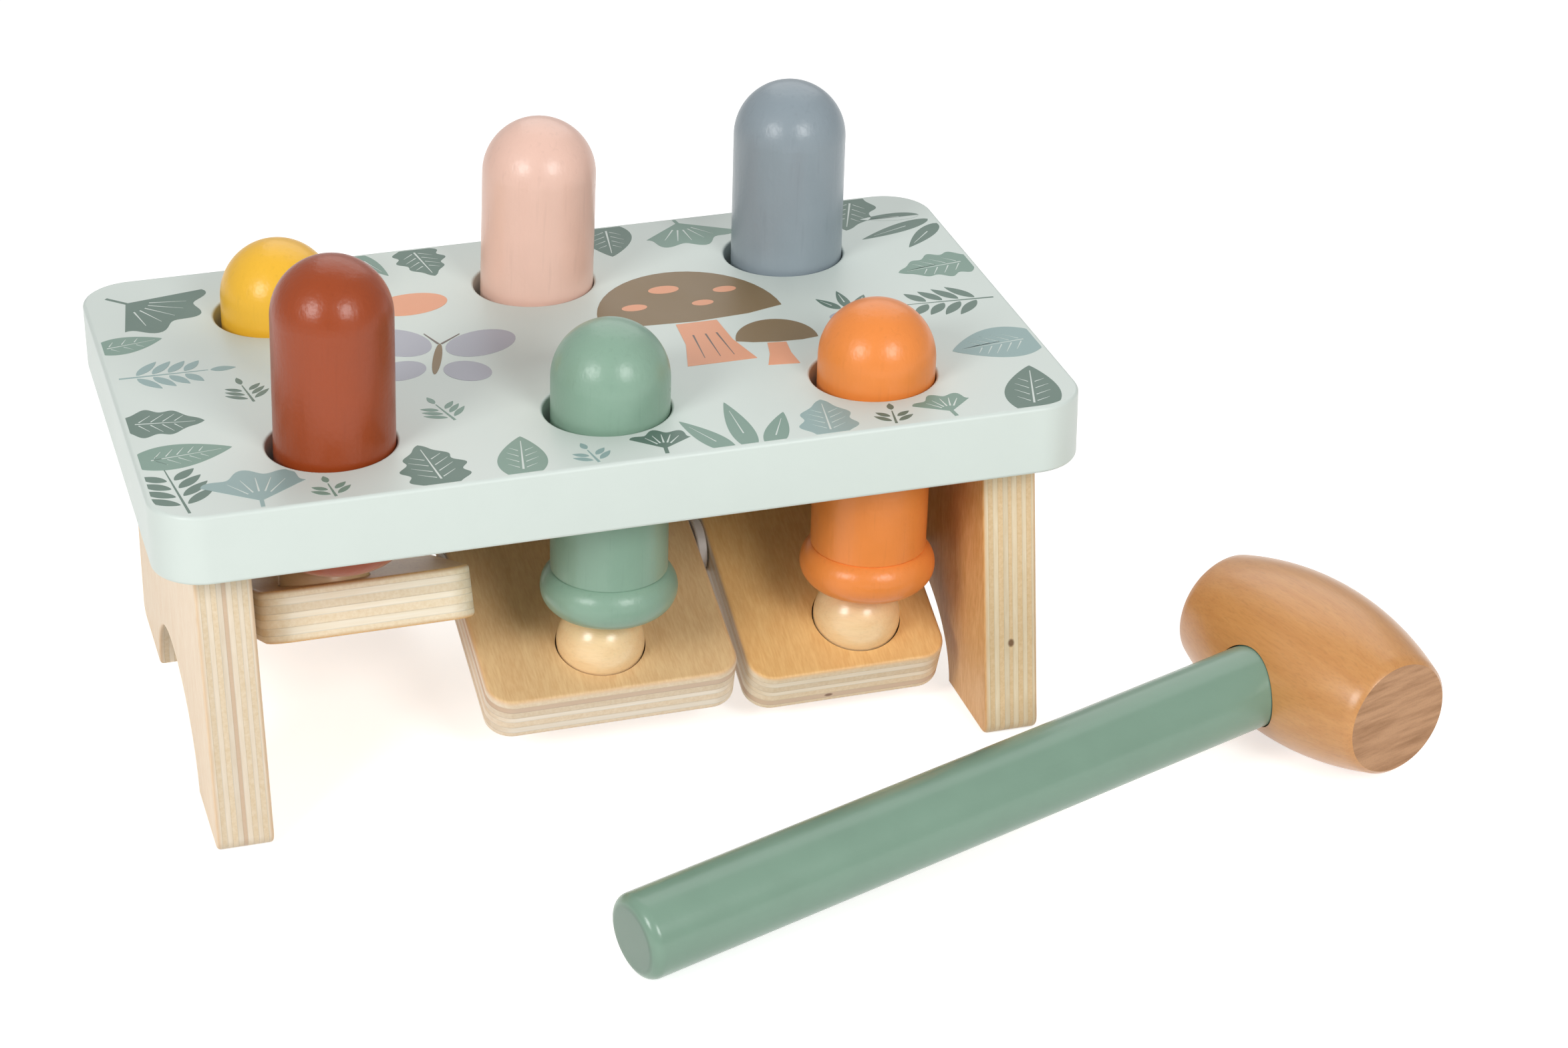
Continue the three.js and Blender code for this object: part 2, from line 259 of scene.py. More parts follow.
def sprayedPaint(name, color, place, coating=turnedPaint):
    # Water-based paint sprayed on wood: satin, with a fine orange peel, and on turned pieces the
    # pores of the beech showing through as short lines along the grain
    material, tree, shader = startMaterial(name, IOR=1.47)
    point, normal = pieceCoordinates(tree, place)
    poreSize, spraySize, coatSize = (paintPattern[key] * mm for key in ('pore', 'spray', 'coat'))
    along = addNode(tree, 'Mapping', {'Vector': point}, {'Scale': (1, 1, paintPattern['poreStretch'])})
    pores = addNode(tree, 'TexNoise', {'Vector': along.outputs[0]},
                    {'Scale': 1 / poreSize, 'Detail': 2, 'Roughness': 0.5})
    spray = addNode(tree, 'TexNoise', {'Vector': point}, {'Scale': 1 / spraySize, 'Detail': 1})
    coat = addNode(tree, 'TexNoise', {'Vector': point}, {'Scale': 1 / coatSize, 'Detail': 2})
    tone = addNode(tree, 'MapRange', {'Value': coat.outputs[0]},
                   {**noiseRange, 'To Min': 1 - coating['blotch'], 'To Max': 1 + coating['blotch']})
    pit = addNode(tree, 'MapRange', {'Value': pores.outputs[0]},
                  {'From Min': 0.28, 'From Max': 0.4, 'To Min': 1 - coating['pore'], 'To Max': 1.0})
    # the end face, square to the piece's own Z, is painted darker here: painted shade
    toward = addNode(tree, 'VectorMath', {0: normal}, {1: place.col[2].to_3d()}, operation='DOT_PRODUCT')
    end = addNode(tree, 'MapRange', {'Value': toward.outputs['Value']},
                  {'From Min': 0.9, 'From Max': 0.99, 'To Min': 1.0, 'To Max': coating['paintedEndShade']})
    pitted = addNode(tree, 'Math', {0: tone.outputs[0], 1: pit.outputs[0]}, operation='MULTIPLY')
    shade = addNode(tree, 'Math', {0: pitted.outputs[0], 1: end.outputs[0]}, operation='MULTIPLY')
    tint = addNode(tree, 'Mix', {7: shade.outputs[0]}, {0: 1.0, 6: hexColor(color)},
                   data_type='RGBA', blend_type='MULTIPLY')
    gloss = addNode(tree, 'MapRange', {'Value': coat.outputs[0]},
                    {**noiseRange, 'To Min': coating['smooth'], 'To Max': coating['rough']})
    fibres = addNode(tree, 'Bump', {'Height': pores.outputs[0]},
                     {'Strength': 1, 'Distance': coating['grain'] * mm})
    skin = addNode(tree, 'Bump', {'Height': spray.outputs[0], 'Normal': fibres.outputs[0]},
                   {'Strength': 1, 'Distance': coating['peel'] * mm})
    tree.links.new(tint.outputs[2], shader.inputs['Base Color'])
    tree.links.new(gloss.outputs[0], shader.inputs['Roughness'])
    tree.links.new(skin.outputs[0], shader.inputs['Normal'])
    return material


# sizes in the plywood, and the tones of its varnished rims and pin knots
plyPattern = {'swayPitch': 3, 'sway': 0.7, 'fibre': 0.9, 'fibreStretch': 0.05, 'figure': 6,
              'figureStretch': 0.22, 'fleck': 0.45, 'fleckStretch': 0.14, 'relief': 0.05, 'redShare': 0.75,
              'rimWidth': 1.1, 'rimSolid': 0.3, 'rimShare': 0.6, 'rim': '#d6a56c', 'knot': '#6e4a30'}


def birchPlywood(name, place, sheet):
    # Birch plywood, sanded and clear varnished. Layers lie across the piece's own Z with the grain
    # along Y in the outer ones and along X in every other, so an edge shows cream and tan lines
    material, tree, shader = startMaterial(name, Roughness=0.45, IOR=1.5)
    point, normal = pieceCoordinates(tree, place)
    parts = addNode(tree, 'SeparateXYZ', {0: point})
    plies, thickness = sheet['plies'], sheet['thickness'] * mm
    # layers are not quite even in thickness
    sway = addNode(tree, 'TexNoise', {'W': parts.outputs[2]}, {'Scale': 1 / (plyPattern['swayPitch'] * mm)},
                   noise_dimensions='1D')
    height = addNode(tree, 'Math', {0: parts.outputs[2]},
                     {1: plies / thickness, 2: plies / 2 - plyPattern['sway'] / 2}, operation='MULTIPLY_ADD')
    uneven = addNode(tree, 'Math', {0: sway.outputs[0], 2: height.outputs[0]}, {1: plyPattern['sway']},
                     operation='MULTIPLY_ADD')
    inside = addNode(tree, 'Clamp', {0: uneven.outputs[0]}, {1: 0.01, 2: plies - 0.01})
    layer = addNode(tree, 'Math', {0: inside.outputs[0]}, operation='FLOOR')
    turned = addNode(tree, 'Math', {0: layer.outputs[0]}, {1: 2}, operation='MODULO')
    # share of the surface that faces along each of the piece's axes
    facing = []
    for axis in range(3):
        toward = place.col[axis].to_3d()
        dot = addNode(tree, 'VectorMath', {0: normal}, {1: toward}, operation='DOT_PRODUCT')
        facing.append(addNode(tree, 'Math', {0: dot.outputs['Value']}, operation='ABSOLUTE').outputs[0])
    endGrain = addNode(tree, 'Mix', {0: turned.outputs[0], 2: facing[1], 3: facing[0]})
    alongX = addNode(tree, 'Mapping', {'Vector': point}, {'Scale': (plyPattern['fibreStretch'], 1, 1)})
    alongY = addNode(tree, 'Mapping', {'Vector': point}, {'Scale': (1, plyPattern['fibreStretch'], 1)})
    grainPoint = addNode(tree, 'Mix', {0: turned.outputs[0], 4: alongY.outputs[0], 5: alongX.outputs[0]},
                         data_type='VECTOR')
    fibre = addNode(tree, 'TexNoise', {'Vector': grainPoint.outputs[1]},
                    {'Scale': 1 / (plyPattern['fibre'] * mm), 'Detail': 4, 'Roughness': 0.6})
    streak = addNode(tree, 'MapRange', {'Value': fibre.outputs[0]}, noiseRange)
    longGrain = addNode(tree, 'Mix', {0: streak.outputs[0]},
                        {6: hexColor(sheet['dark']), 7: hexColor(sheet['pale'])}, data_type='RGBA')
    cutGrain = addNode(tree, 'Mix', {0: streak.outputs[0]},
                       {6: hexColor(sheet['endDark']), 7: hexColor(sheet['endPale'])}, data_type='RGBA')
    edge = addNode(tree, 'Mix', {0: endGrain.outputs[0], 6: longGrain.outputs[2], 7: cutGrain.outputs[2]},
                   data_type='RGBA')
    # one redder layer in the sheet, and a thin brown glue line under each
    red = addNode(tree, 'Math', {0: layer.outputs[0]}, {1: sheet['redPly'], 2: 0.1}, operation='COMPARE')
    redShare = addNode(tree, 'Math', {0: red.outputs[0]}, {1: plyPattern['redShare']}, operation='MULTIPLY')
    mixed = addNode(tree, 'Mix', {0: redShare.outputs[0], 6: edge.outputs[2]},
                    {7: hexColor(sheet['redTint'])}, data_type='RGBA')
    across = addNode(tree, 'Math', {0: inside.outputs[0]}, operation='FRACT')
    batch = addNode(tree, 'TexWhiteNoise', {'W': layer.outputs[0]}, noise_dimensions='1D')
    glue = addNode(tree, 'MapRange', {'Value': across.outputs[0]},
                   {'From Min': 0.06, 'From Max': 0.16, 'To Min': 0.84, 'To Max': 1.0})
    lift = addNode(tree, 'MapRange', {'Value': batch.outputs[0]}, {'To Min': 0.94, 'To Max': 1.03})
    shade = addNode(tree, 'Math', {0: glue.outputs[0], 1: lift.outputs[0]}, operation='MULTIPLY')
    layers = addNode(tree, 'Mix', {6: mixed.outputs[2], 7: shade.outputs[0]}, {0: 1.0},
                     data_type='RGBA', blend_type='MULTIPLY')
    # varnish gathers and darkens along the sheet's two sawn corners
    depth = addNode(tree, 'Math', {0: parts.outputs[2]}, operation='ABSOLUTE')
    corner = addNode(tree, 'MapRange', {'Value': depth.outputs[0]},
                     {'From Min': thickness / 2 - plyPattern['rimWidth'] * mm,
                      'From Max': thickness / 2 - plyPattern['rimSolid'] * mm,
                      'To Max': plyPattern['rimShare']})
    layers = addNode(tree, 'Mix', {0: corner.outputs[0], 6: layers.outputs[2]},
                     {7: hexColor(plyPattern['rim'])}, data_type='RGBA')
    if 'knot' in sheet:
        # a pin knot that the saw cut through
        offset = addNode(tree, 'VectorMath', {0: point}, {1: Vector(sheet['knot']) * mm},
                         operation='SUBTRACT')
        shrunk = addNode(tree, 'VectorMath', {0: offset.outputs[0]}, {1: Vector(sheet['knotSize']) * mm},
                         operation='DIVIDE')
        reach = addNode(tree, 'VectorMath', {0: shrunk.outputs[0]}, operation='LENGTH')
        knot = addNode(tree, 'MapRange', {'Value': reach.outputs['Value']},
                       {'From Min': 0.7, 'From Max': 1.2, 'To Min': 0.9, 'To Max': 0})
        layers = addNode(tree, 'Mix', {0: knot.outputs[0], 6: layers.outputs[2]},
                         {7: hexColor(plyPattern['knot'])}, data_type='RGBA')
    # rotary cut face: wandering figure with fine short flecks
    figurePoint = addNode(tree, 'Mapping', {'Vector': point}, {'Scale': (1, plyPattern['figureStretch'], 1)})
    figure = addNode(tree, 'TexNoise', {'Vector': figurePoint.outputs[0]},
                     {'Scale': 1 / (plyPattern['figure'] * mm), 'Detail': 5, 'Roughness': 0.62,
                      'Distortion': 1.2})
    fleckPoint = addNode(tree, 'Mapping', {'Vector': point}, {'Scale': (1, plyPattern['fleckStretch'], 1)})
    fleck = addNode(tree, 'TexNoise', {'Vector': fleckPoint.outputs[0]},
                    {'Scale': 1 / (plyPattern['fleck'] * mm), 'Detail': 2})
    mottle = addNode(tree, 'Math', {0: figure.outputs[0], 1: fleck.outputs[0]}, operation='ADD')
    share = addNode(tree, 'MapRange', {'Value': mottle.outputs[0]},
                    {'From Min': 0.75, 'From Max': 1.25, 'To Min': 0, 'To Max': 1})
    veneer = addNode(tree, 'Mix', {0: share.outputs[0]},
                     {6: hexColor(sheet['veneerDark']), 7: hexColor(sheet['veneer'])}, data_type='RGBA')
    skin = addNode(tree, 'MapRange', {'Value': facing[2]},
                   {'From Min': 0.5, 'From Max': 0.9, 'To Min': 0, 'To Max': 1})
    tint = addNode(tree, 'Mix', {0: skin.outputs[0], 6: layers.outputs[2], 7: veneer.outputs[2]},
                   data_type='RGBA')
    relief = addNode(tree, 'Bump', {'Height': fibre.outputs[0]},
                     {'Strength': 1, 'Distance': plyPattern['relief'] * mm})
    tree.links.new(tint.outputs[2], shader.inputs['Base Color'])
    tree.links.new(relief.outputs[0], shader.inputs['Normal'])
    return material


# sizes and finish that the turned woods share
beechPattern = {'streakStretch': 0.06, 'pore': 0.45, 'poreStretch': 0.16, 'ringStretch': 0.12, 'relief': 0.03,
                'varnish': 0.4, 'varnishRoughness': 0.24, 'endRoughness': 0.6}


def varnishedBeech(name, place, wood):
    # Turned hardwood under clear varnish: fine streaks and short pores along the piece's own Z,
    # and dull end faces where the growth rings show as bands
    material, tree, shader = startMaterial(name, IOR=1.5, Coat_Roughness=beechPattern['varnishRoughness'])
    point, normal = pieceCoordinates(tree, place)
    along = addNode(tree, 'Mapping', {'Vector': point}, {'Scale': (1, 1, beechPattern['streakStretch'])})
    streak = addNode(tree, 'TexNoise', {'Vector': along.outputs[0]},
                     {'Scale': 1 / (wood['streak'] * mm), 'Detail': 6, 'Roughness': 0.6, 'Distortion': 0.3})
    short = addNode(tree, 'Mapping', {'Vector': point}, {'Scale': (1, 1, beechPattern['poreStretch'])})
    pores = addNode(tree, 'TexNoise', {'Vector': short.outputs[0]},
                    {'Scale': 1 / (beechPattern['pore'] * mm), 'Detail': 2})
    share = addNode(tree, 'MapRange', {'Value': streak.outputs[0]}, noiseRange)
    fleck = addNode(tree, 'MapRange', {'Value': pores.outputs[0]},
                    {'From Min': 0.3, 'From Max': 0.5, 'To Min': 1 - wood['fleck'], 'To Max': 1})
    longGrain = addNode(tree, 'Mix', {0: share.outputs[0]},
                        {6: hexColor(wood['dark']), 7: hexColor(wood['pale'])}, data_type='RGBA')
    slanted = addNode(tree, 'Mapping', {'Vector': point},
                      {'Rotation': wood['ringTurn'], 'Scale': (1, beechPattern['ringStretch'], 0)})
    rings = addNode(tree, 'TexNoise', {'Vector': slanted.outputs[0]},
                    {'Scale': 1 / (wood['ringPitch'] * mm), 'Detail': 4, 'Roughness': 0.65})
    band = addNode(tree, 'MapRange', {'Value': rings.outputs[0]},
                   {'From Min': 0.36, 'From Max': 0.6, 'To Min': 0, 'To Max': 1})
    cutGrain = addNode(tree, 'Mix', {0: band.outputs[0]},
                       {6: hexColor(wood['endDark']), 7: hexColor(wood['endPale'])}, data_type='RGBA')
    dot = addNode(tree, 'VectorMath', {0: normal}, {1: place.col[2].to_3d()}, operation='DOT_PRODUCT')
    square = addNode(tree, 'Math', {0: dot.outputs['Value']}, operation='ABSOLUTE')
    end = addNode(tree, 'MapRange', {'Value': square.outputs[0]},
                  {'From Min': 0.96, 'From Max': 0.99, 'To Min': 0, 'To Max': wood['endShare']})
    body = addNode(tree, 'Mix', {0: end.outputs[0], 6: longGrain.outputs[2], 7: cutGrain.outputs[2]},
                   data_type='RGBA')
    tint = addNode(tree, 'Mix', {6: body.outputs[2], 7: fleck.outputs[0]}, {0: 1.0},
                   data_type='RGBA', blend_type='MULTIPLY')
    dull = addNode(tree, 'MapRange', {'Value': end.outputs[0]},
                   {'To Min': wood['roughness'], 'To Max': beechPattern['endRoughness']})
    clear = addNode(tree, 'MapRange', {'Value': end.outputs[0]},
                    {'To Min': beechPattern['varnish'], 'To Max': 0.0})
    relief = addNode(tree, 'Bump', {'Height': pores.outputs[0]},
                     {'Strength': 1, 'Distance': beechPattern['relief'] * mm})
    tree.links.new(tint.outputs[2], shader.inputs['Base Color'])
    tree.links.new(dull.outputs[0], shader.inputs['Roughness'])
    tree.links.new(clear.outputs[0], shader.inputs['Coat Weight'])
    tree.links.new(relief.outputs[0], shader.inputs['Normal'])
    return material


zincPattern = {'color': '#c4c4c6', 'line': 0.3, 'lineStretch': 0.03, 'smooth': 0.22, 'rough': 0.42}
nylonPattern = {'dark': '#d6cfcb', 'pale': '#e4dedb', 'mottle': 1.5}


def zincSteel(name):
    # Zinc-plated steel rod: drawn lines along its length
    material, tree, shader = startMaterial(name, Base_Color=hexColor(zincPattern['color']), Metallic=1.0)
    source = addNode(tree, 'TexCoord')
    along = addNode(tree, 'Mapping', {'Vector': source.outputs['Object']},
                    {'Scale': (zincPattern['lineStretch'], 1, 1)})
    lines = addNode(tree, 'TexNoise', {'Vector': along.outputs[0]}, {'Scale': 1 / (zincPattern['line'] * mm)})
    gloss = addNode(tree, 'MapRange', {'Value': lines.outputs[0]},
                    {'To Min': zincPattern['smooth'], 'To Max': zincPattern['rough']})
    tree.links.new(gloss.outputs[0], shader.inputs['Roughness'])
    return material


def mouldedNylon(name):
    # Moulded nylon: pale, slightly waxy, with a faint mottling
    material, tree, shader = startMaterial(name, Roughness=0.45, IOR=1.53)
    source = addNode(tree, 'TexCoord')
    mottle = addNode(tree, 'TexNoise', {'Vector': source.outputs['Object']},
                     {'Scale': 1 / (nylonPattern['mottle'] * mm)})
    tint = addNode(tree, 'Mix', {0: mottle.outputs[0]},
                   {6: hexColor(nylonPattern['dark']), 7: hexColor(nylonPattern['pale'])}, data_type='RGBA')
    tree.links.new(tint.outputs[2], shader.inputs['Base Color'])
    return material


# Bench board

boardShape = {'cornerRadius': 13, 'rimRadius': 1.0, 'holeDiameter': 31.6, 'holeRim': 0.7, 'holesAcross': 68,
              'holesDeep': 79, 'paint': '#d6e0da'}

pegJoints = [joint for joint in frame["joints"] if joint["child"].endswith("_peg_body")]


def pegPlace(joint):
    # the foot of a peg, with its own Z along the way that it slides
    node = joint["child"].removesuffix("_body")
    axis = Vector(joint["axis"])
    side = Vector((0, 1, 0)).cross(axis)
    depth = axis.cross(side)
    foot = side * middleAlong(node, side) + depth * middleAlong(node, depth) + axis * startAlong(node, axis)
    place = Matrix((side, depth, axis)).transposed().to_4x4()
    place.translation = foot
    return node, place


pegPlaces = dict(pegPlace(joint) for joint in pegJoints)


def holeCentre(place, middle):
    # the hole that a peg stands in, measured from the board's middle; the peg leans on its right wall
    foot = (place.to_translation() - middle) / mm
    column = round(foot.x / boardShape['holesAcross'])
    row = math.copysign(boardShape['holesDeep'] / 2, foot.y)
    return Vector((column * boardShape['holesAcross'], row, 0)) * mm


def makeBoard():
    size, centre = boxSize("top_board"), boxCentre("top_board")
    board = roundBoard("printedBoard", size, boardShape['cornerRadius'] * mm, boardShape['rimRadius'] * mm)
    holeRadius, rim = boardShape['holeDiameter'] / 2 * mm, boardShape['holeRim'] * mm
    for pegSpot in pegPlaces.values():
        drill = rimDrill(holeRadius, -size.z / 2, size.z / 2, rim)
        cutOut(board, drill, Matrix.Translation(holeCentre(pegSpot, centre)))
    place = Matrix.Translation(centre)
    paint = sprayedPaint("pale mint satin lacquer", boardShape['paint'], place, boardLacquer)
    settle(board, place, "bench", ["top_board"], paint)


makeBoard()
print("board done")


# Printed garden on the board: flat ink plates, a hair proud of the lacquer

printInks = {'forest': '#5d776b', 'sage': '#7b998b', 'mist': '#92adab', 'lavender': '#aeb0ba',
             'bark': '#846d49', 'apricot': '#e7a27c', 'plum': '#6f6158'}
printPlate = {'proud': 0.03, 'step': 0.012, 'sunk': 0.05, 'margin': 1.5, 'holeMargin': 1.4}


def mirrored(right):
    # closes an outline that starts and ends on the middle line
    return right + [(-x, y) for x, y in reversed(right[1:-1])]


def blade(length, width, belly=0.85, lobes=0, steps=32):
    # a leaf that grows up from the origin, plain or with a lobed rim
    right = [(0, 0)]
    for step in range(1, steps):
        share = step / steps
        wave = 0.88 + 0.12 * math.cos(2 * math.pi * lobes * share)
        right.append((width / 2 * wave * math.sin(math.pi * share ** belly) ** 0.85, length * share))
    return mirrored(right + [(0, length)])


def oval(across, along, steps=32):
    points = arcPoints((0, 0), 1, 0, 360 - 360 / steps, steps - 1)
    return [(x * across / 2, y * along / 2) for x, y in points]


def strip(start, stop, width):
    # a thin stroke that narrows to its end
    start, stop = Vector(start), Vector(stop)
    side = (stop - start).orthogonal().normalized() * width / 2
    return [tuple(end) for end in (start + side, start - side, stop - side * 0.4, stop + side * 0.4)]


def placed(outlines, x, y, degrees):
    turn = Matrix.Rotation(math.radians(degrees), 2)
    return [[tuple(turn @ Vector(point) + Vector((x, y))) for point in outline] for outline in outlines]


def veinedLeaf(length, width, pairs=4, lobes=0):
    # veins are slits in the ink
    outlines = [blade(length, width, 0.8, lobes, 48), strip((0, length * 0.24), (0, length * 0.9), 0.55)]
    for pair in range(pairs):
        root = length * (0.28 + 0.52 * pair / pairs)
        reach = width * 0.26 * math.sin(math.pi * (0.34 + 0.56 * pair / pairs))
        for side in (-1, 1):
            outlines.append(strip((side * 0.8, root), (side * (0.8 + reach), root + reach * 0.75), 0.4))
    return outlines


def sprig(length, pairs, leafLength):
    gap = 0.72 * length / pairs
    outlines = [strip((0, 0), (0, length), 0.7)]
    for pair in range(pairs):
        size = leafLength * (1 - 0.35 * pair / pairs)
        for side in (-1, 1):
            outlines += placed([blade(size, gap * 0.68)], side * 0.9, 0.2 * length + gap * pair, -side * 52)
    return outlines + placed([blade(leafLength * 0.7, gap * 0.68)], 0, length + 0.6, 0)


def tuft(length, width, spread):
    outlines = []
    for degrees, share in ((spread, 0.8), (0, 1.0), (-spread, 0.72)):
        reach = length * share
        leaf = [blade(reach, width, 0.7), strip((0, reach * 0.34), (0, reach * 0.82), 0.4)]
        outlines += placed(leaf, -degrees / spread * width * 0.75, 0, degrees)
    return outlines


def fan(radius):
    # an open fan with a wavy rim, ribbed from its stalk
    rim = []
    for x, y in arcPoints((0, 0), radius, 35, 145, 36):
        reach = 1 - 0.1 * math.cos(9 * math.atan2(y, x))
        rim.append((x * reach, y * reach))
    outlines = [[(0.5, -radius * 0.35), (0.5, 0)] + rim + [(-0.5, 0), (-0.5, -radius * 0.35)]]
    for degrees in (55, 72, 90, 108, 125):
        toward = Vector((math.cos(math.radians(degrees)), math.sin(math.radians(degrees))))
        outlines.append(strip(toward * radius * 0.3, toward * radius * 0.8, 0.5))
    return outlines


def toadstoolCap(width, height):
    top = [(x * width / 2, y * height) for x, y in arcPoints((0, 0), 1, -90, 90, 24) if y >= 0]
    return [mirrored([(0, -height * 0.14), (width * 0.3, -height * 0.1)] + top)]


def capSpots(width, height):
    spots = []
    for across, up, size in ((-0.27, 0.3, 0.14), (-0.06, 0.62, 0.17), (0.1, 0.24, 0.12), (0.26, 0.48, 0.13)):
        spots += placed([oval(width * size, height * size)], across * width, up * height, 0)
    return spots


def toadstoolStem(width, height):
    left = [(-width * 0.5, -height), (-width * 0.34, -height * 0.5), (-width * 0.3, 0)]
    return [left + [(-x, y) for x, y in reversed(left)]]


def stemStrokes(width, height):
    return [strip((across * width, -height * 0.3), (across * width * 1.25, -height * 0.86), 0.5)
            for across in (-0.16, 0.02, 0.18)]


def wings(span):
    outlines = []
    for side in (-1, 1):
        upper = placed([oval(span * 0.32, span * 0.44)], 0, span * 0.27, 0)
        lower = placed([oval(span * 0.24, span * 0.3)], 0, span * 0.2, 0)
        outlines += placed(upper, side * span * 0.03, span * 0.03, -side * 50)
        outlines += placed(lower, side * span * 0.03, -span * 0.05, -side * 128)
    return outlines


# ink, motif, place from the board's middle, and turn (0 grows to the back)
printLayout = [
    # front edge, left to right
    ('forest', sprig(24, 4, 10), -106, -67, 6),
    ('mist', fan(15), -89, -65, -2),
    ('sage', sprig(7, 2, 5), -72, -68, 6),
    ('forest', veinedLeaf(25, 17, 4, 4), -46, -72, 6),
    ('sage', veinedLeaf(23, 12), -28, -72, -10),
    ('mist', sprig(7, 2, 5), -9, -68, 10),
    ('forest', fan(9), 8, -65, -6),
    ('sage', tuft(27, 6, 24), 28, -72, 0),
    ('mist', veinedLeaf(22, 15, 4, 3), 48, -72, -8),
    ('forest', sprig(7, 2, 5), 65, -68, -8),
    ('sage', fan(9), 80, -65, 6),
    ('forest', veinedLeaf(28, 14), 99, -73, -16),
    # right edge, front to back
    ('mist', veinedLeaf(26, 18, 5), 117, -30, 96),
    ('forest', sprig(24, 4, 10), 112, -4, 86),
    ('sage', veinedLeaf(24, 16, 4, 4), 117, 21, 98),
    ('forest', tuft(23, 5, 26), 112, 50, 112),
    # left edge, front to back
    ('sage', veinedLeaf(26, 13, 5), -117, -38, -84),
    ('forest', veinedLeaf(22, 16, 4, 3), -117, -16, -98),
    ('mist', sprig(22, 4, 9), -112, 10, -92),
    ('forest', fan(19), -104, 55, 226),
    ('sage', veinedLeaf(19, 10, 3), -117, 28, -80),
    # back edge, left to right
    ('mist', sprig(8, 2, 5), -72, 68, 176),
    ('sage', tuft(23, 5, 25), -46, 71, 176),
    ('forest', veinedLeaf(22, 14, 4, 4), -27, 72, 188),
    ('mist', sprig(7, 2, 5), 2, 68, 178),
    ('forest', veinedLeaf(23, 13), 27, 72, 172),
    ('sage', fan(15), 46, 66, 184),
    ('mist', sprig(7, 2, 5), 68, 68, 182),
    ('forest', veinedLeaf(25, 15, 4, 3), 97, 72, 160),
    # middle
    ('bark', toadstoolCap(48, 28), 34, 7, 0),
    ('apricot', capSpots(48, 28), 34, 7, 0),
    ('apricot', toadstoolStem(18, 25), 34, 2.4, 0),
    ('plum', stemStrokes(18, 25), 34, 2.4, 0),
    ('bark', toadstoolCap(21, 12), 51, -13, -8),
    ('apricot', toadstoolStem(8, 13), 50.3, -15.1, -8),
    ('lavender', [oval(13, 6)], 74, -4, 6),
    ('forest', tuft(11, 3, 30), 74, 0, 0),
    ('lavender', wings(44), -34, 0, -16),
    ('bark', [oval(2.2, 18)], -34, -0.6, -16),
    ('plum', [strip((0.4, 9), (4.5, 15), 0.6), strip((-0.4, 9), (-4.5, 15), 0.6)], -34, -0.6, -16),
    ('apricot', [oval(20, 13)], -34, 34, 8),
    ('sage', sprig(10, 3, 6), -37, -36, 16),
    ('forest', sprig(10, 3, 6), -82, -12, 8),
]


def keepOnFlat(point, half, radius, holes, holeRadius):
    # draws a point that lies off the printed flat back to its rounded outline, or out of a hole
    point = Vector(point)
    for hole in holes:
        away = point - hole
        if away.length < holeRadius:
            point = hole + away.normalized() * holeRadius
    over = Vector(max(abs(point[axis]) - half[axis] + radius, 0) for axis in (0, 1))
    if over.length > radius:
        pull = over * (1 - radius / over.length)
        point = Vector(math.copysign(abs(point[axis]) - pull[axis], point[axis]) for axis in (0, 1))
    return point


def makePrint():
    low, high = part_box("top_board")
    middle = (low + high) / 2
    half = (high - low) / 2 - Vector((1, 1, 0)) * printPlate['margin'] * mm
    radius = (boardShape['cornerRadius'] - printPlate['margin']) * mm
    holes = [holeCentre(place, middle).xy for place in pegPlaces.values()]
    holeRadius = (boardShape['holeDiameter'] / 2 + printPlate['holeMargin']) * mm
    for order, (ink, color) in enumerate(printInks.items()):
        # inks printed later lie over the earlier ones
        proud = printPlate['proud'] + printPlate['step'] * order
        thickness = (proud + printPlate['sunk']) * mm
        top = Matrix.Translation((middle.x, middle.y, high.z + proud * mm - thickness / 2))
        curve = bpy.data.curves.new(f"{ink}Print", 'CURVE')
        curve.dimensions = '2D'
        curve.fill_mode = 'BOTH'
        curve.extrude = thickness / 2
        for motifInk, motif, x, y, degrees in printLayout:
            if motifInk != ink:
                continue
            for outline in placed(motif, x, y, degrees):
                spline = curve.splines.new('POLY')
                spline.use_cyclic_u = True
                spline.points.add(len(outline) - 1)
                for spot, point in zip(spline.points, outline):
                    flat = keepOnFlat(Vector(point) * mm, half, radius, holes, holeRadius)
                    spot.co = (flat.x, flat.y, 0, 1)
        plate = bpy.data.objects.new(f"{ink}Print", curve)
        bpy.context.scene.collection.objects.link(plate)
        pickOnly(plate)
        bpy.ops.object.convert(target='MESH')
        inked = sprayedPaint(f"{ink} screen print", color, top, boardLacquer)
        settle(bpy.context.object, top, "bench", [], inked)


makePrint()
print("print done")


# Legs

# seatClear: edges closer than this to the leg's middle, round the axle's seat, stay sharp
legShape = {'topDepth': 112, 'edge': 0.9, 'archHalf': 34, 'archHeight': 23.5, 'footRound': 4,
            'seatDiameter': 6.6, 'seatDepth': 10.3, 'seatClear': 8}
legSheet = {'plies': 11, 'thickness': 14, 'redTint': '#cdb096'}
legFaces = {  # redPly -1: no redder layer in the sheet
    'left': {**legSheet, 'pale': '#e9dcc9', 'dark': '#e1d1ba', 'endPale': '#e6d4b9', 'endDark': '#dbc4a0',
             'veneer': '#fce6c9', 'veneerDark': '#f3d6b3', 'redPly': 5},
    # the right leg's veneer is darker and more orange than the left's: partly wood that differs, partly
    # painted shade for the warm shade its inner face lies in
    'right': {**legSheet, 'pale': '#eedfc3', 'dark': '#e5d1ae', 'endPale': '#ebcfa5', 'endDark': '#dfbf90',
              'veneer': '#ecbc80', 'veneerDark': '#d8a05e', 'redPly': -1, 'knot': (-60, -13, 0),
              'knotSize': (6, 1.15, 0.85)},
}


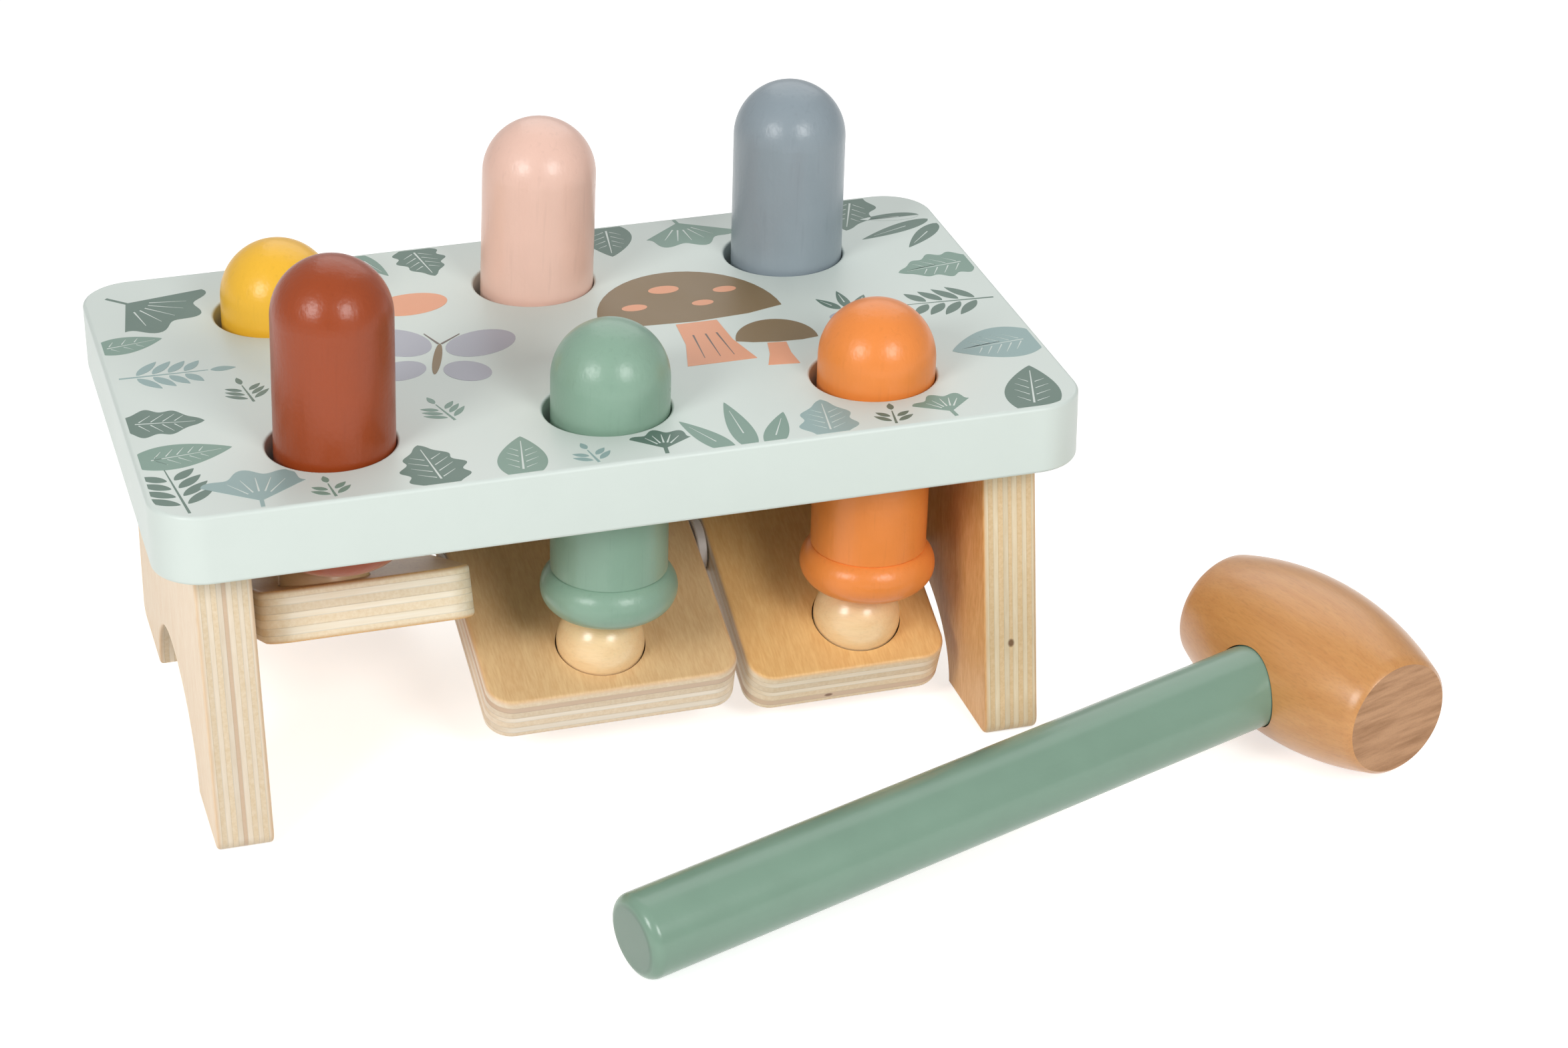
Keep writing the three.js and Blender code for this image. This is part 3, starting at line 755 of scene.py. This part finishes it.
def makeLeg(side):
    node = f"{side}_leg"
    size, centre = boxSize(node), boxCentre(node)
    # modelled lying down: X runs along the bench's depth, Y is up the leg, Z is the sheet's thickness
    leg = startBlock(f"{side}LegPanel", (size.y, size.z, size.x))
    pickOnly(leg)
    bpy.ops.object.mode_set(mode='EDIT')
    bpy.ops.mesh.select_all(action='DESELECT')
    mesh = bmesh.from_edit_mesh(leg.data)
    for vertex in mesh.verts:
        vertex.select_set(vertex.co.y > 0)
    mesh.select_flush_mode()
    bmesh.update_edit_mesh(leg.data)
    taper = legShape['topDepth'] * mm / size.y
    bpy.ops.transform.resize(value=(taper, 1, 1), center_override=(0, size.z / 2, 0))
    bpy.ops.object.mode_set(mode='OBJECT')
    bevelEdges(leg, lambda a, b: a.y < 0 and b.y < 0 and abs(a.z - b.z) > size.x / 2,
               legShape['footRound'] * mm, steps=6)
    archSquash = Matrix.Diagonal((1, legShape['archHeight'] / legShape['archHalf'], 1, 1))
    archPlace = Matrix.Translation((0, -size.z / 2, 0)) @ archSquash
    bore(leg, legShape['archHalf'] * mm, size.x * 2, archPlace, sides=128)
    seat = Matrix.Translation((0, boxCentre("axle").z - centre.z, 0))
    inward = 1 if side == "left" else -1
    seatRadius, seatDepth = legShape['seatDiameter'] / 2 * mm, legShape['seatDepth'] * mm
    bore(leg, seatRadius, seatDepth * 2, seat @ Matrix.Translation((0, 0, inward * size.x / 2)), sides=48)
    bevelEdges(leg, lambda a, b: abs(a.z - b.z) < size.x / 100 and a.xy.length > legShape['seatClear'] * mm,
               legShape['edge'] * mm, steps=3)
    place = Matrix(((0, 0, 1, centre.x), (1, 0, 0, centre.y), (0, 1, 0, centre.z), (0, 0, 0, 1)))
    wood = birchPlywood(f"clear varnished birch plywood, {side} leg", place, legFaces[side])
    settle(leg, place, "bench", [node], wood)


for side in ("left", "right"):
    makeLeg(side)
print("legs done")


# Rockers with their balls

rockerShape = {'length': 101, 'thickness': 13, 'cornerRadius': 7, 'rimRadius': 1.1, 'ballBore': 23,
               'axleBore': 6.6}
rockerSheet = {'plies': 7, 'thickness': 13, 'pale': '#f8eddb', 'dark': '#efe0c6', 'endPale': '#ecdabd',
               'endDark': '#dfc8a4', 'veneer': '#f3c886', 'veneerDark': '#e7b574', 'redPly': 5,
               'redTint': '#d3b294'}
rockerSheets = {
    # the left rocker's edges are painted lighter than the others': painted light that makes up for the shade
    # the board and leg cast on it
    'left': {**rockerSheet, 'redPly': -1, 'pale': '#fdf2de', 'dark': '#f6e7cb', 'endPale': '#f4e3c6',
             'endDark': '#e9d3ae'},
    'middle': {**rockerSheet, 'veneer': '#ecca97', 'veneerDark': '#dfb683', 'pale': '#fdf3e5',
               'dark': '#f6e7d1', 'endPale': '#f4e2c8', 'endDark': '#e7d0b0'},
    'right': {**rockerSheet, 'redPly': 1, 'knot': (-5, -50.5, -3.6), 'knotSize': (1.1, 3, 0.6)},
}
# the grain of the balls is turned about Y by row, then tipped about X, in degrees
ballShape = {'diameter': 22.4, 'nib': 1.2, 'grainTurn': {'front': 90, 'back': 72}, 'grainTip': 28.65}
ballWood = {'pale': '#fddfae', 'dark': '#f8d4a1', 'streak': 2.2, 'fleck': 0.05, 'roughness': 0.24,
            'endPale': '#fddfae', 'endDark': '#f8d4a1', 'endShare': 0.0, 'ringPitch': 4,
            'ringTurn': (0, 0, 0)}


def makeBall(name):
    # turned ball: a tiny flat is left at each end where it was parted off
    radius = ballShape['diameter'] / 2
    start = math.degrees(math.asin(ballShape['nib'] / 2 / radius)) - 90
    profile = [(0, radius * math.sin(math.radians(start)))] + arcPoints((0, 0), radius, start, -start, 48)
    profile.append((0, -profile[0][1]))
    return turnOnLathe(name, [(r * mm, z * mm) for r, z in profile], 64)


def makeRocker(side):
    node = f"{side}_rocker"
    balls = {row: boxCentre(f"{side}_{row}_ball") for row in ("front", "back")}
    rise = balls["back"] - balls["front"]
    place = Matrix.Translation(boxCentre(node)) @ Matrix.Rotation(math.atan2(rise.z, rise.y), 4, 'X')
    width, length, thickness = boxSize(node).x, rockerShape['length'] * mm, rockerShape['thickness'] * mm
    board = roundBoard(f"{side}RockerBoard", (width, length, thickness), rockerShape['cornerRadius'] * mm,
                       rockerShape['rimRadius'] * mm)
    radius = rockerShape['ballBore'] / 2 * mm
    seats = [place.inverted() @ centre for centre in balls.values()]
    for seat in seats:
        floor = seat.z - radius
        top = Matrix.Translation((seat.x, seat.y, thickness / 2))
        bore(board, radius, 2 * (thickness / 2 - floor), top, sides=96)
    bore(board, rockerShape['axleBore'] / 2 * mm, width * 2, Matrix.Rotation(math.pi / 2, 4, 'Y'), sides=48)
    wood = birchPlywood(f"clear varnished birch plywood, {side} rocker", place, rockerSheets[side])
    settle(board, place, f"{side}_rocker_body", [node], wood)
    for row, centre in balls.items():
        turn = Matrix.Rotation(math.radians(ballShape['grainTurn'][row]), 4, 'Y')
        tip = Matrix.Rotation(math.radians(ballShape['grainTip']), 4, 'X')
        ballPlace = Matrix.Translation(centre) @ turn @ tip
        polished = varnishedBeech(f"varnished pale beech, {side} {row} ball", ballPlace, ballWood)
        ball = makeBall(f"{side}{row.capitalize()}Ball")
        settle(ball, ballPlace, f"{side}_rocker_body", [f"{side}_{row}_ball"], polished)


for side in ("left", "middle", "right"):
    makeRocker(side)
print("rockers done")


# Axle, spacer rings and the glued dowels

axleShape = {'diameter': 6, 'chamfer': 0.5}
ringShape = {'diameter': 14, 'bore': 6.6, 'chamfer': 0.3}


def chamferedSide(shape, half):
    # the outside of a round bar, with its two rims broken
    radius, chamfer = shape['diameter'] / 2 * mm, shape['chamfer'] * mm
    return [(radius - chamfer, -half), (radius, chamfer - half),
            (radius, half - chamfer), (radius - chamfer, half)]


def makeAxle():
    half = boxSize("axle").x / 2
    rod = turnOnLathe("axleRod", [(0, -half)] + chamferedSide(axleShape, half) + [(0, half)], 48)
    place = Matrix.Translation(boxCentre("axle")) @ Matrix.Rotation(math.pi / 2, 4, 'Y')
    settle(rod, place, "bench", ["axle"], zincSteel("zinc plated steel rod"))


def makeRings():
    nylon = mouldedNylon("moulded grey nylon")
    inner = ringShape['bore'] / 2 * mm
    for side in ("left", "right"):
        for spot in ("inner", "outer"):
            node = f"{side}_{spot}_spacer"
            half = boxSize(node).x / 2
            section = [(inner, -half)] + chamferedSide(ringShape, half) + [(inner, half), (inner, -half)]
            ring = turnOnLathe(f"{side}{spot.capitalize()}Ring", section, 48)
            place = Matrix.Translation(boxCentre(node)) @ Matrix.Rotation(math.pi / 2, 4, 'Y')
            settle(ring, place, "bench", [node], nylon)


def finishDowels():
    for side in ("left", "right"):
        for row in ("front", "back"):
            node = frame["nodes"][f"{side}_{row}_dowel"]
            place = Matrix.Translation(boxCentre(node.name))
            wood = varnishedBeech(f"beech dowel, {side} {row}", place, ballWood)
            node.data.materials.clear()
            node.data.materials.append(wood)


makeAxle()
makeRings()
finishDowels()
print("axle, rings and dowels done")


# Pegs

pegShape = {'radius': 14.7, 'length': 77.8, 'beadRadius': 6.2, 'beadOverhang': 2.55, 'creaseDepth': 0.35}
pegPaints = {
    'rust_peg': ('rust_paint', '#9c441c'),
    'yellow_peg': ('yellow_paint', '#f8c039'),
    'green_peg': ('sage_paint', '#8bab97'),
    'pink_peg': ('pink_paint', '#f1c9b8'),
    'orange_peg': ('orange_paint', '#f18f44'),
    'grey_peg': ('grey_paint', '#929fa7'),
}


def pegProfile():
    # a bead at the foot, a straight shank and a round top
    radius, length, bead = pegShape['radius'], pegShape['length'], pegShape['beadRadius']
    beadCentre = radius + pegShape['beadOverhang'] - bead
    beadEnd = math.degrees(math.acos((radius - beadCentre) / bead))
    foot = arcPoints((beadCentre, bead), bead, -90, beadEnd, 20)
    joint, depth = foot[-1][1], pegShape['creaseDepth']
    crease = [(radius - depth, joint + depth * 0.3), (radius, joint + depth * 1.6)]
    dome = arcPoints((0, length - radius), radius, 0, 90, 36)
    dome[-1] = (0, length)
    return [(r * mm, z * mm) for r, z in [(0, 0)] + foot + crease + dome]


def makePegs():
    model = turnOnLathe("pegModel", pegProfile())
    for node, place in pegPlaces.items():
        slot, color = pegPaints[node]
        peg = copyPiece(model, node.replace("_peg", "Peg"))
        paint = sprayedPaint(f"{node.split('_')[0]} satin paint on beech", color, place)
        settle(peg, place, f"{node}_body", [node], paint)
    bpy.data.objects.remove(model)


makePegs()
print("pegs done")


# Hammer

hammerShape = {'headLength': 67.5, 'belly': 43.2, 'face': 31.2, 'faceChamfer': 1.0, 'barrelSteps': 32,
               'handle': 21.2, 'handleSeat': 8, 'handleReach': 201, 'handleEnd': 3, 'boreGap': 0.3,
               'handleColor': '#7f9d8a'}
headWood = {'pale': '#d4995b', 'dark': '#ca8c4f', 'streak': 2.0, 'fleck': 0.09, 'roughness': 0.37,
            'endPale': '#c4966f', 'endDark': '#a0744e', 'endShare': 1.0, 'ringPitch': 3.2,
            'ringTurn': (0, 0, -0.5)}


def makeHammer():
    head = boxCentre("hammer_head")
    axis = (boxCentre("hammer_handle") - head).normalized()
    level = Vector((0, 0, 1)).cross(axis).normalized()
    upright = axis.cross(level)
    # head: its own Z lies level, across the handle
    headPlace = Matrix((upright, axis, level)).transposed().to_4x4()
    headPlace.translation = head
    half, face, belly = (hammerShape[key] / 2 for key in ('headLength', 'face', 'belly'))
    chamfer = hammerShape['faceChamfer']
    reach = half - chamfer
    barrel, steps = [], hammerShape['barrelSteps']
    for step in range(steps + 1):
        height = -reach + 2 * reach * step / steps
        barrel.append((belly - (belly - face) * (height / reach) ** 2, height))
    profile = [(0, -half), (face - chamfer, -half)] + barrel + [(face - chamfer, half), (0, half)]
    block = turnOnLathe("hammerHeadBarrel", [(r * mm, z * mm) for r, z in profile], 128)
    seat, radius = hammerShape['handleSeat'], hammerShape['handle'] / 2
    boreLength = seat + hammerShape['boreGap'] + belly * 2
    boreMiddle = (belly * 2 - seat - hammerShape['boreGap']) / 2
    bore(block, (radius + hammerShape['boreGap']) * mm, boreLength * mm,
         Matrix.Translation((0, boreMiddle * mm, 0)) @ Matrix.Rotation(math.pi / 2, 4, 'X'), sides=96)
    wood = varnishedBeech("varnished honey beech", headPlace, headWood)
    settle(block, headPlace, "hammer_body", ["hammer_head"], wood)
    # handle: its own Z runs from the seat in the head to the free end
    handlePlace = Matrix((level, upright, axis)).transposed().to_4x4()
    handlePlace.translation = head
    end, top = hammerShape['handleEnd'], hammerShape['handleReach']
    rounded = arcPoints((radius - end, top - end), end, 0, 90, 8)
    profile = [(0, -seat), (radius, -seat)] + rounded + [(0, top)]
    handle = turnOnLathe("hammerHandleDowel", [(r * mm, z * mm) for r, z in profile])
    color = hammerShape['handleColor']
    paint = sprayedPaint("sage satin paint on beech, handle", color, handlePlace, handlePaint)
    settle(handle, handlePlace, "hammer_body", ["hammer_handle"], paint)


makeHammer()
print("hammer done")


# Floor, light and camera

# skyShine is what the sky adds in reflections; past shadowReach the paper is plain white to the eye
studio = {'azimuth': -16.43, 'elevation': 27.49, 'distance': 1003.67, 'aim': (16.85, 41.87, 34.78),
          'lens': 87.4, 'sensor': 36, 'floorSize': 8000, 'paper': '#ececea', 'paperGlow': 0.64,
          'shadowReach': (350, 700), 'skyLight': 0.3, 'skyShine': 0.25}
softBoxes = {
    'keyLeft': {'toward': (-0.69, -0.50, 0.50), 'distance': 1300, 'size': 410, 'power': 6.6},
    'keyRight': {'toward': (0.23, -0.81, 0.51), 'distance': 1300, 'size': 410, 'power': 6.3},
    'overhead': {'toward': (0.25, 0.62, 0.75), 'distance': 1500, 'size': 1400, 'power': 7.6},
}


def makeCamera():
    camera = bpy.data.objects.new("camera", bpy.data.cameras.new("camera"))
    bpy.context.scene.collection.objects.link(camera)
    azimuth, elevation = math.radians(studio['azimuth']), math.radians(studio['elevation'])
    level = math.cos(elevation)
    back = Vector((math.sin(azimuth) * level, -math.cos(azimuth) * level, math.sin(elevation)))
    camera.location = (Vector(studio['aim']) + back * studio['distance']) * mm
    camera.rotation_euler = (-back).to_track_quat('-Z', 'Y').to_euler()
    camera.data.lens = studio['lens']
    camera.data.sensor_width = studio['sensor']
    camera.data.sensor_fit = 'HORIZONTAL'
    bpy.context.scene.camera = camera


def makeLights():
    aim = Vector(studio['aim']) * mm
    for name, box in softBoxes.items():
        light = bpy.data.lights.new(name, 'AREA')
        light.size = box['size'] * mm
        light.energy = box['power']
        lamp = bpy.data.objects.new(name, light)
        toward = Vector(box['toward']).normalized()
        lamp.location = aim + toward * box['distance'] * mm
        lamp.rotation_euler = (-toward).to_track_quat('-Z', 'Y').to_euler()
        bpy.context.scene.collection.objects.link(lamp)


def anyRay(tree, path, kinds):
    # 1 for a ray of one of the given kinds, and 0 for the rest
    share = path.outputs[kinds[0]]
    for kind in kinds[1:]:
        share = addNode(tree, 'Math', {0: share, 1: path.outputs[kind]}, operation='MAXIMUM').outputs[0]
    return share


def makeFloor():
    # white paper that keeps the shadow near the toy and lights the toy as plain paper does
    bpy.ops.object.select_all(action='DESELECT')
    bpy.ops.mesh.primitive_plane_add(size=studio['floorSize'] * mm)
    floor = bpy.context.object
    floor.name = "floor"
    material = bpy.data.materials.new("white paper")
    material.use_nodes = True
    tree = material.node_tree
    tree.nodes.clear()
    paper = addNode(tree, 'BsdfDiffuse', inputs={'Color': hexColor(studio['paper'])})
    glow = addNode(tree, 'Emission', inputs={'Strength': studio['paperGlow']})
    lifted = addNode(tree, 'AddShader', {0: paper.outputs[0], 1: glow.outputs[0]})
    path = addNode(tree, 'LightPath')
    seen = anyRay(tree, path, ('Is Camera Ray', 'Is Glossy Ray', 'Is Transmission Ray'))
    place = addNode(tree, 'TexCoord')
    away = addNode(tree, 'VectorMath', {0: place.outputs['Object']}, operation='LENGTH')
    near, distant = (reach * mm for reach in studio['shadowReach'])
    far = addNode(tree, 'MapRange', {'Value': away.outputs['Value']}, {'From Min': near, 'From Max': distant})
    plain = addNode(tree, 'Emission', inputs={'Strength': 1.0})
    faded = addNode(tree, 'MixShader', {0: far.outputs[0], 1: lifted.outputs[0], 2: plain.outputs[0]})
    mix = addNode(tree, 'MixShader', {0: seen, 1: paper.outputs[0], 2: faded.outputs[0]})
    addNode(tree, 'OutputMaterial', {'Surface': mix.outputs[0]})
    floor.data.materials.append(material)


def makeSky():
    # even pale light, white to the camera
    world = bpy.data.worlds.new("studio")
    world.use_nodes = True
    bpy.context.scene.world = world
    tree = world.node_tree
    tree.nodes.clear()
    path = addNode(tree, 'LightPath')
    lit = addNode(tree, 'Math', {0: path.outputs['Is Glossy Ray']},
                  {1: studio['skyShine'], 2: studio['skyLight']}, operation='MULTIPLY_ADD')
    seen = anyRay(tree, path, ('Is Camera Ray', 'Is Transmission Ray'))
    strength = addNode(tree, 'Math', {0: lit.outputs[0], 1: seen}, operation='MAXIMUM')
    sky = addNode(tree, 'Background', {'Strength': strength.outputs[0]}, {'Color': (1, 1, 1, 1)})
    addNode(tree, 'OutputWorld', {'Surface': sky.outputs[0]})


makeCamera()
makeLights()
makeFloor()
makeSky()
bpy.context.scene.view_settings.view_transform = 'Standard'
print("studio done")
